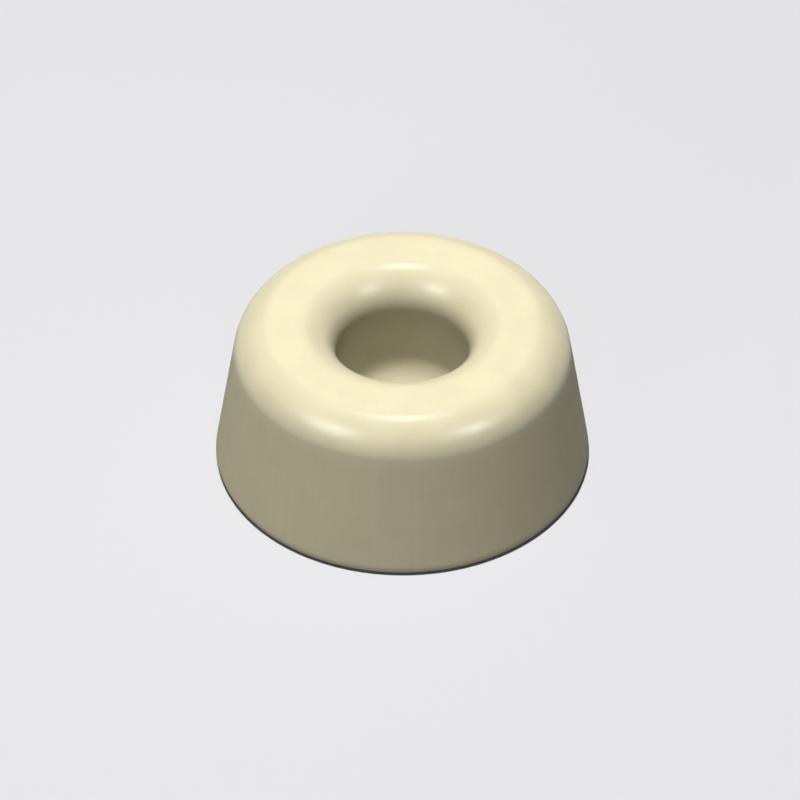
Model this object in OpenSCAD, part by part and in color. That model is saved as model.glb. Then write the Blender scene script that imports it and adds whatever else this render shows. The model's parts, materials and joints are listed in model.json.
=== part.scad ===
// Anti-vibration pad: one solid moulded rubber foot. The wide flat base stands on the
// bench. The deep pocket in the rounded crown takes the foot of the machine above it.
// Millimetres, +Z up, origin at the centre of the base.

/* [Body] */
// Diameter across the base, out to where the side would meet it in a sharp edge
base_d = 22.4; // [20.6:0.1:32]
// Height from the base to the flat land on the crown
height = 9.9; // [7:0.1:15]
// Lean of the side towards the axis, in degrees
side_draft = 9.3; // [0:0.1:15]
// Radius of the round between the side and the crown
crown_edge_r = 2.55; // [0.5:0.05:3.4]
// Radius of the small round at the foot of the side
base_edge_r = 0.4; // [0.05:0.05:1]

/* [Pocket] */
// Diameter of the pocket's straight wall
pocket_d = 7.85; // [4.6:0.05:9.8]
// Radius of the round at the pocket's mouth
mouth_r = 2.4; // [0.3:0.05:3.4]
// Thickness of rubber under the pocket
floor_t = 1.75; // [0.5:0.05:4.5]
// Radius of the hollow corner between the pocket's wall and its floor
floor_r = 2.2; // [0.2:0.05:3.8]

/* [Hidden] */
$fn = 128;

base_r = base_d / 2;
pocket_r = pocket_d / 2;

// Centre of the round at the top of the side: it touches the crown and the leaning side
edge_z = height - crown_edge_r;
edge_x = base_r - (crown_edge_r + edge_z * sin(side_draft)) / cos(side_draft);

// Centre of the round at the foot of the side: it touches the leaning side and the base
foot_z = base_edge_r;
foot_x = base_r - (base_edge_r + foot_z * sin(side_draft)) / cos(side_draft);

// Centre of the round at the pocket's mouth: it touches the crown and the pocket's wall
mouth_z = height - mouth_r;
mouth_x = pocket_r + mouth_r;

// Centre of the hollow corner round the pocket's floor
corner_x = pocket_r - floor_r;
corner_z = floor_t + floor_r;

// A length that reaches right across the section
reach = base_d + height;

// Everything below the crown and its round, out to the leaning side
module crown_section() {
    square([edge_x, height]);
    translate([edge_x, edge_z]) rotate(side_draft) {
        circle(r = crown_edge_r);
        translate([-reach, -reach]) square([reach + crown_edge_r, reach]);
    }
}

// Everything above the base and its round, out to the leaning side
module foot_section() {
    square([foot_x, foot_z]);
    translate([foot_x, foot_z]) rotate(side_draft) {
        circle(r = base_edge_r);
        translate([-reach, 0]) square([reach + base_edge_r, reach]);
    }
}

// The body's outline, with no pocket
module body_section() {
    intersection() {
        crown_section();
        foot_section();
        square(reach);
    }
}

// The space at the mouth, which flares out to the crown
module mouth_section() {
    difference() {
        translate([0, mouth_z]) square([mouth_x, reach]);
        translate([mouth_x, mouth_z]) circle(r = mouth_r);
    }
}

// The straight bore, and under it the floor with its hollow corner
module pocket_section() {
    translate([0, corner_z]) square([pocket_r, mouth_z - corner_z]);
    translate([0, floor_t]) square([corner_x, floor_r]);
    intersection() {
        translate([corner_x, corner_z]) circle(r = floor_r);
        translate([corner_x, floor_t]) square(floor_r);
    }
}

module pad() {
    color([0.94, 0.9, 0.75]) rotate_extrude() difference() {
        body_section();
        mouth_section();
        pocket_section();
    }
}

pad();
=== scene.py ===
"""The anti-vibration pad dressed for its picture: one smooth moulded rubber body on a pale floor.

The pad is a body of revolution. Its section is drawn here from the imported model's box and its
pocket mount, and from the few sizes below, which are those of the part's source.
"""
import json
import math
from itertools import accumulate

import bmesh
import bpy
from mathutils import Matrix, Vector


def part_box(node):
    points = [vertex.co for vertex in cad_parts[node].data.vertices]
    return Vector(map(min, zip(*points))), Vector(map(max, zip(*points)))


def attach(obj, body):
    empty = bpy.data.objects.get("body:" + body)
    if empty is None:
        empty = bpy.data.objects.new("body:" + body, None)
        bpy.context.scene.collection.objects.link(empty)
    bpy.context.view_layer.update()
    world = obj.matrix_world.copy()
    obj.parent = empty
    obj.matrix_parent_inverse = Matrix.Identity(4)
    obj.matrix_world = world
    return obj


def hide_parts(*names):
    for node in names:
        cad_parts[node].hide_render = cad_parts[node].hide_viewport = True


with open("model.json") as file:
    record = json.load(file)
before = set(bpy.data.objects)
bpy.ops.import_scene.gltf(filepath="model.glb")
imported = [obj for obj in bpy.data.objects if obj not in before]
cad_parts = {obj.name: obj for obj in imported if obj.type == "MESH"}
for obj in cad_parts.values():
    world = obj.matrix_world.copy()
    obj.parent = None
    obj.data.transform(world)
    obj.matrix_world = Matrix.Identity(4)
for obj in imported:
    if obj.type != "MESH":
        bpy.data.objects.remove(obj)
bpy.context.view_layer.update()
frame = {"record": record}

# ---- Sizes, in metres and radians -------------------------------------------------------

SIDE_DRAFT = math.radians(9.3)
BASE_EDGE_R = 0.0004
CROWN_EDGE_R = 0.00255
MOUTH_R = 0.0024
FLOOR_T = 0.00175
FLOOR_R = 0.0022

box_corner = Vector(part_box("pad")[1])
HEIGHT = box_corner.z
pocket = next(m for m in frame["record"]["mounts"] if m["name"] == "pocket")
POCKET_R = pocket["dims"]["r_mm"] / 1000


def inset(radius, height):
    """How far in from the sharp foot of the side a round's centre lies, to touch the side."""
    return (radius + height * math.sin(SIDE_DRAFT)) / math.cos(SIDE_DRAFT)


# The round at the foot makes the box a little narrower than the sharp foot would be
BASE_R = box_corner.x - BASE_EDGE_R + inset(BASE_EDGE_R, BASE_EDGE_R)

# The outline's points lie this far apart on its rounds and on its straight stretches
ROUND_STEP = 0.00009
STRAIGHT_STEP = 0.000225

# How many faces there are round the axis
SECTORS = 240

# ---- The rubber's finish ----------------------------------------------------------------

CREAM = (0.86, 0.79, 0.53)

# The rubber's colour for the light that it throws on, dull so that its pocket looks deep
THROWN_ON = (0.27, 0.256, 0.212)

SPECULAR_LEVEL = 0.8
ROUND_ROUGHNESS = 0.36
FLAT_ROUGHNESS = 0.85
SIDE_ROUGHNESS = 0.95
ROUGHNESS_SPREAD = 0.03

# Cloudy patches: how wide, how much lighter and darker, and how high they lift the surface
MOTTLE_SIZE = 0.0022
MOTTLE_SHADE = 0.02
MOTTLE_LIFT = 0.000004

# The fine blasted grain of the mould, in the same way
GRAIN_SIZE = 0.00012
GRAIN_SHADE = 0.015
GRAIN_LIFT = 0.0000018

# Drag marks down the side: how wide they are, how many times longer, and how light and dark
DRAG_SIZE = 0.0005
DRAG_STRETCH = 20
DRAG_SHADE = 0.012

# How far below the crown the side's finish begins and is whole
SIDE_BEGINS = 0.0012
SIDE_WHOLE = 0.0032

# How far beyond the round of the mouth the pocket's finish has given way
MOUTH_BLEND = 0.0008

# How far below the crown the finish of its flat land begins and is whole
LAND_BEGINS = 0.00015
LAND_WHOLE = 0.00003

# How far above the pocket's floor the floor's finish is whole and ends
FLOOR_WHOLE = 0.00005
FLOOR_ENDS = 0.0006

# Most of what a noise gives lies between these
NOISE_LOW = 0.3
NOISE_HIGH = 0.7

# ---- The stage --------------------------------------------------------------------------

STAGE_SPAN = 3
STAGE_SHOWN = (0.74, 0.74, 0.755)
STAGE_THROWN_ON = (0.15, 0.15, 0.15)
WORLD_STRENGTH = 0.03

LAMP_DISTANCE = 0.4

# Each lamp's name, azimuth and elevation in degrees, size in metres and power in watts
FORM_LAMPS = (
    ("overhead", -90, 86.5, 0.04, 1.67),
    ("front", 0, 34, 0.12, 0.065),
    ("low_left", -30, 8, 0.12, 0.145),
)
GLOSS_LAMPS = (
    ("glint_left", -49.5, 33.7, 0.16, 0.65),
    ("glint_right", 49.5, 33.7, 0.10, 0.44),
    ("glint_over", 180, 85, 0.05, 0.31),
)

# The camera's elevation in degrees, and its lens and sensor in millimetres
VIEW_ELEVATION = 41.06
LENS = 221.5
SENSOR = 36

# In radii of the base: how far off the camera is, and how far the pad lies to the right of the
# frame's middle and above it
VIEW_DISTANCE = 26
PAD_RIGHT = 0.0124
PAD_UP = 0.0756

# Nothing nearer to the camera than this, in metres, is drawn
CLIP_START = 0.01


# ---- The pad's section ------------------------------------------------------------------

def arc(centre, radius, start, end):
    """Points along an arc, its angles in radians from the section's outward direction."""
    count = max(4, round(radius * abs(end - start) / ROUND_STEP))
    for i in range(count + 1):
        angle = start + (end - start) * i / count
        yield centre[0] + radius * math.cos(angle), centre[1] + radius * math.sin(angle)


def straight(start, end):
    """Points strictly between two ends, so that a flat stretch shades as flat."""
    count = max(2, round(math.dist(start, end) / STRAIGHT_STEP))
    for i in range(1, count):
        share = i / count
        yield start[0] + (end[0] - start[0]) * share, start[1] + (end[1] - start[1]) * share


def section():
    """The outline as (radius, height) points, from the floor of the pocket round to the base."""
    corner = (POCKET_R - FLOOR_R, FLOOR_T + FLOOR_R)
    mouth = (POCKET_R + MOUTH_R, HEIGHT - MOUTH_R)
    edge_z = HEIGHT - CROWN_EDGE_R
    edge = (BASE_R - inset(CROWN_EDGE_R, edge_z), edge_z)
    foot = (BASE_R - inset(BASE_EDGE_R, BASE_EDGE_R), BASE_EDGE_R)

    rounds = [
        list(arc(corner, FLOOR_R, -math.pi / 2, 0)),
        list(arc(mouth, MOUTH_R, math.pi, math.pi / 2)),
        list(arc(edge, CROWN_EDGE_R, math.pi / 2, SIDE_DRAFT)),
        list(arc(foot, BASE_EDGE_R, SIDE_DRAFT, -math.pi / 2)),
    ]
    start, end = (0, FLOOR_T), (0, 0)
    points = [start, *straight(start, rounds[0][0])]
    for this, following in zip(rounds, rounds[1:]):
        points += [*this, *straight(this[-1], following[0])]
    return [*points, *rounds[-1], *straight(rounds[-1][-1], end), end]


def ring(bm, radius, height):
    """The vertices of one circle round Z. On the axis they are all the same one."""
    if radius == 0:
        return [bm.verts.new((0, 0, height))] * SECTORS
    angles = [2 * math.pi * i / SECTORS for i in range(SECTORS)]
    return [bm.verts.new((radius * math.cos(a), radius * math.sin(a), height)) for a in angles]


def lathe(name, outline):
    """A closed mesh turned about Z from an outline that starts and ends on the axis.

    Its UV map is the surface unrolled: across is round the axis, and up is along the outline.
    """
    bm = bmesh.new()
    # The rubber is baked through a map of this name, and this one has no joins to smudge
    unrolled = bm.loops.layers.uv.new("OFBake")
    rings = [ring(bm, radius, height) for radius, height in outline]
    along = list(accumulate(map(math.dist, outline, outline[1:]), initial=0))
    for k, (inner, outer) in enumerate(zip(rings, rings[1:])):
        for i in range(SECTORS):
            j = (i + 1) % SECTORS
            # Each corner's place on the map. Two that meet on the axis are one corner here
            places = {
                inner[j]: (i + 1, k),
                inner[i]: (i, k),
                outer[i]: (i, k + 1),
                outer[j]: (i + 1, k + 1),
            }
            face = bm.faces.new(tuple(places))
            face.smooth = True
            for corner in face.loops:
                across, up = places[corner.vert]
                corner[unrolled].uv = across / SECTORS, along[up] / along[-1]
    mesh = bpy.data.meshes.new(name)
    bm.to_mesh(mesh)
    bm.free()
    piece = bpy.data.objects.new(name, mesh)
    bpy.context.collection.objects.link(piece)
    return piece


# ---- Materials --------------------------------------------------------------------------

class Nodes:
    """A short way to add and join shader nodes."""

    def __init__(self, name):
        self.material = bpy.data.materials.new(name)
        self.material.use_nodes = True
        self.tree = self.material.node_tree
        self.tree.nodes.clear()

    def add(self, kind, **settings):
        node = self.tree.nodes.new(kind)
        for key, value in settings.items():
            setattr(node, key, value)
        return node

    def join(self, source, target):
        self.tree.links.new(source, target)

    def set(self, target, value):
        """Feeds a socket from another one, or sets it to a number or a vector."""
        if isinstance(value, bpy.types.NodeSocket):
            self.join(value, target)
        else:
            target.default_value = value

    def math(self, operation, first, second):
        node = self.add("ShaderNodeMath", operation=operation)
        self.set(node.inputs[0], first)
        self.set(node.inputs[1], second)
        return node.outputs["Value"]

    def vector(self, operation, first, second=(0, 0, 0)):
        node = self.add("ShaderNodeVectorMath", operation=operation)
        self.set(node.inputs[0], first)
        self.set(node.inputs[1], second)
        return node.outputs["Value" if operation == "LENGTH" else "Vector"]

    def scale(self, vector, factor):
        node = self.add("ShaderNodeVectorMath", operation="SCALE")
        self.set(node.inputs["Vector"], vector)
        self.set(node.inputs["Scale"], factor)
        return node.outputs["Vector"]

    def ramp(self, source, start, end):
        """A smooth change from start's value to end's, each a (place, value) pair."""
        node = self.add("ShaderNodeMapRange", interpolation_type="SMOOTHSTEP")
        self.join(source, node.inputs["Value"])
        for name, value in zip(("From Min", "To Min", "From Max", "To Max"), start + end):
            node.inputs[name].default_value = value
        return node.outputs["Result"]

    def noise(self, place, size, detail):
        """Cloudy noise from 0 to 1 whose patches are about size across, in metres."""
        node = self.add("ShaderNodeTexNoise")
        self.join(place, node.inputs["Vector"])
        node.inputs["Scale"].default_value = 1 / size
        node.inputs["Detail"].default_value = detail
        return node.outputs["Fac"]

    def vary(self, noise, middle, spread):
        """A number round middle that a noise takes up and down by as much as spread."""
        return self.ramp(noise, (NOISE_LOW, middle - spread), (NOISE_HIGH, middle + spread))

    def bump(self, height, distance, below=None):
        """A normal that tilts as height, 0 to 1, lifts the surface by up to distance."""
        node = self.add("ShaderNodeBump")
        node.inputs["Strength"].default_value = 1
        node.inputs["Distance"].default_value = distance
        self.join(height, node.inputs["Height"])
        if below is not None:
            self.join(below, node.inputs["Normal"])
        return node.outputs["Normal"]


def drag_marks(nodes, place, outward):
    """Where the side dragged on its mould: noise that is long down the slope and narrow round it."""
    round_the_side = nodes.scale(outward, BASE_R)
    down_the_side = nodes.vector("MULTIPLY", place, (0, 0, 1 / DRAG_STRETCH))
    return nodes.noise(nodes.vector("ADD", round_the_side, down_the_side), DRAG_SIZE, detail=3)


def moulded_rubber():
    """Cream rubber with a fine blasted grain: satin on the rounds, matter on the flats and side."""
    nodes = Nodes("moulded_rubber")
    out = nodes.add("ShaderNodeOutputMaterial")
    skin = nodes.add("ShaderNodeBsdfPrincipled")
    nodes.join(skin.outputs["BSDF"], out.inputs["Surface"])
    skin.inputs["Specular IOR Level"].default_value = SPECULAR_LEVEL

    place = nodes.add("ShaderNodeTexCoord").outputs["Object"]
    outward = nodes.vector("MULTIPLY", place, (1, 1, 0))
    radius = nodes.vector("LENGTH", outward)
    parts = nodes.add("ShaderNodeSeparateXYZ")
    nodes.join(place, parts.inputs["Vector"])
    height = parts.outputs["Z"]

    # 1 down the side, and 0 on the crown and in the pocket
    land_r = POCKET_R + MOUTH_R
    beyond_mouth = nodes.ramp(radius, (land_r, 0), (land_r + MOUTH_BLEND, 1))
    below_crown = nodes.ramp(height, (HEIGHT - SIDE_WHOLE, 1), (HEIGHT - SIDE_BEGINS, 0))
    side = nodes.math("MULTIPLY", beyond_mouth, below_crown)

    # 1 on the crown's land and on the pocket's floor
    land = nodes.ramp(height, (HEIGHT - LAND_BEGINS, 0), (HEIGHT - LAND_WHOLE, 1))
    floor_level = nodes.ramp(height, (FLOOR_T + FLOOR_WHOLE, 1), (FLOOR_T + FLOOR_ENDS, 0))
    inside = nodes.math("SUBTRACT", 1.0, beyond_mouth)
    flats = nodes.math("MAXIMUM", land, nodes.math("MULTIPLY", floor_level, inside))

    drag = drag_marks(nodes, place, nodes.vector("NORMALIZE", outward))
    mottle = nodes.noise(place, MOTTLE_SIZE, detail=3)
    grain = nodes.noise(place, GRAIN_SIZE, detail=2)

    shade = nodes.math("MULTIPLY", nodes.vary(drag, 0, DRAG_SHADE), side)
    shade = nodes.math("ADD", shade, nodes.vary(mottle, 1, MOTTLE_SHADE))
    shade = nodes.math("MULTIPLY", shade, nodes.vary(grain, 1, GRAIN_SHADE))
    colour = nodes.add("ShaderNodeMix", data_type="RGBA")
    nodes.join(nodes.add("ShaderNodeLightPath").outputs["Is Diffuse Ray"], colour.inputs["Factor"])
    nodes.join(nodes.scale(CREAM, shade), colour.inputs["A"])
    colour.inputs["B"].default_value = (*THROWN_ON, 1)
    nodes.join(colour.outputs["Result"], skin.inputs["Base Color"])

    rough = nodes.vary(mottle, ROUND_ROUGHNESS, ROUGHNESS_SPREAD)
    for part, roughness in ((flats, FLAT_ROUGHNESS), (side, SIDE_ROUGHNESS)):
        rougher = nodes.math("MULTIPLY", part, roughness - ROUND_ROUGHNESS)
        rough = nodes.math("ADD", rough, rougher)
    nodes.join(rough, skin.inputs["Roughness"])

    wavy = nodes.bump(mottle, MOTTLE_LIFT)
    nodes.join(nodes.bump(grain, GRAIN_LIFT, wavy), skin.inputs["Normal"])
    return nodes.material


def pale_floor():
    """Pale to the eye and in reflections, but it throws little light back up at the pad."""
    nodes = Nodes("pale_floor")
    out = nodes.add("ShaderNodeOutputMaterial")
    shown = nodes.add("ShaderNodeBsdfDiffuse", name="shown")
    shown.inputs["Color"].default_value = (*STAGE_SHOWN, 1)
    bounced = nodes.add("ShaderNodeBsdfDiffuse", name="bounced")
    bounced.inputs["Color"].default_value = (*STAGE_THROWN_ON, 1)

    ray = nodes.add("ShaderNodeLightPath").outputs
    seen = nodes.math("MAXIMUM", ray["Is Camera Ray"], ray["Is Glossy Ray"])
    seen = nodes.math("MAXIMUM", seen, ray["Is Transmission Ray"])
    either = nodes.add("ShaderNodeMixShader")
    nodes.join(seen, either.inputs["Fac"])
    nodes.join(bounced.outputs["BSDF"], either.inputs[1])
    nodes.join(shown.outputs["BSDF"], either.inputs[2])
    nodes.join(either.outputs["Shader"], out.inputs["Surface"])
    return nodes.material


# ---- Stage, lamps and camera ------------------------------------------------------------

def add_floor():
    bpy.ops.mesh.primitive_plane_add(size=STAGE_SPAN, location=(0, 0, 0))
    floor = bpy.context.object
    floor.name = "studio_floor"
    floor.data.materials.append(pale_floor())


def direction(azimuth, elevation):
    """The unit vector towards a place round the pad. Azimuth 0 is the camera's side."""
    a = math.radians(azimuth)
    e = math.radians(elevation)
    return Vector((math.sin(a) * math.cos(e), -math.cos(a) * math.cos(e), math.sin(e)))


def add_softbox(name, azimuth, elevation, size, watts):
    """A square softbox that faces the middle of the pad from LAMP_DISTANCE away."""
    lamp = bpy.data.lights.new(name, "AREA")
    lamp.shape = "SQUARE"
    lamp.size = size
    lamp.energy = watts
    box = bpy.data.objects.new(name, lamp)
    middle = Vector((0, 0, HEIGHT / 2))
    box.location = middle + direction(azimuth, elevation) * LAMP_DISTANCE
    box.rotation_euler = (middle - box.location).to_track_quat("-Z", "Y").to_euler()
    bpy.context.collection.objects.link(box)
    return box


def add_lamps():
    """Soft light on the form, and lamps apart from it that show only in the gloss."""
    for lamp in FORM_LAMPS:
        add_softbox(*lamp).visible_glossy = False
    for lamp in GLOSS_LAMPS:
        add_softbox(*lamp).visible_diffuse = False


def add_world():
    world = bpy.data.worlds.new("studio")
    world.use_nodes = True
    background = world.node_tree.nodes["Background"]
    background.inputs["Color"].default_value = (1, 1, 1, 1)
    background.inputs["Strength"].default_value = WORLD_STRENGTH
    bpy.context.scene.world = world


def add_camera():
    """A long lens that looks down on the pad, which sits a little high in the frame."""
    back = direction(0, VIEW_ELEVATION)
    right = Vector((1, 0, 0))
    up = back.cross(right)
    target = Vector((0, 0, HEIGHT / 2)) - (PAD_RIGHT * right + PAD_UP * up) * BASE_R
    data = bpy.data.cameras.new("camera")
    data.lens = LENS
    data.sensor_width = SENSOR
    data.clip_start = CLIP_START
    camera = bpy.data.objects.new("camera", data)
    camera.location = target + back * (VIEW_DISTANCE * BASE_R)
    camera.rotation_euler = back.to_track_quat("Z", "Y").to_euler()
    bpy.context.collection.objects.link(camera)
    bpy.context.scene.camera = camera


add_camera()
add_floor()
add_world()
add_lamps()

pad = lathe("moulded_pad", section())
pad.data.materials.append(moulded_rubber())
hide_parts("pad")
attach(pad, "root")

bpy.context.scene.view_settings.view_transform = "Standard"
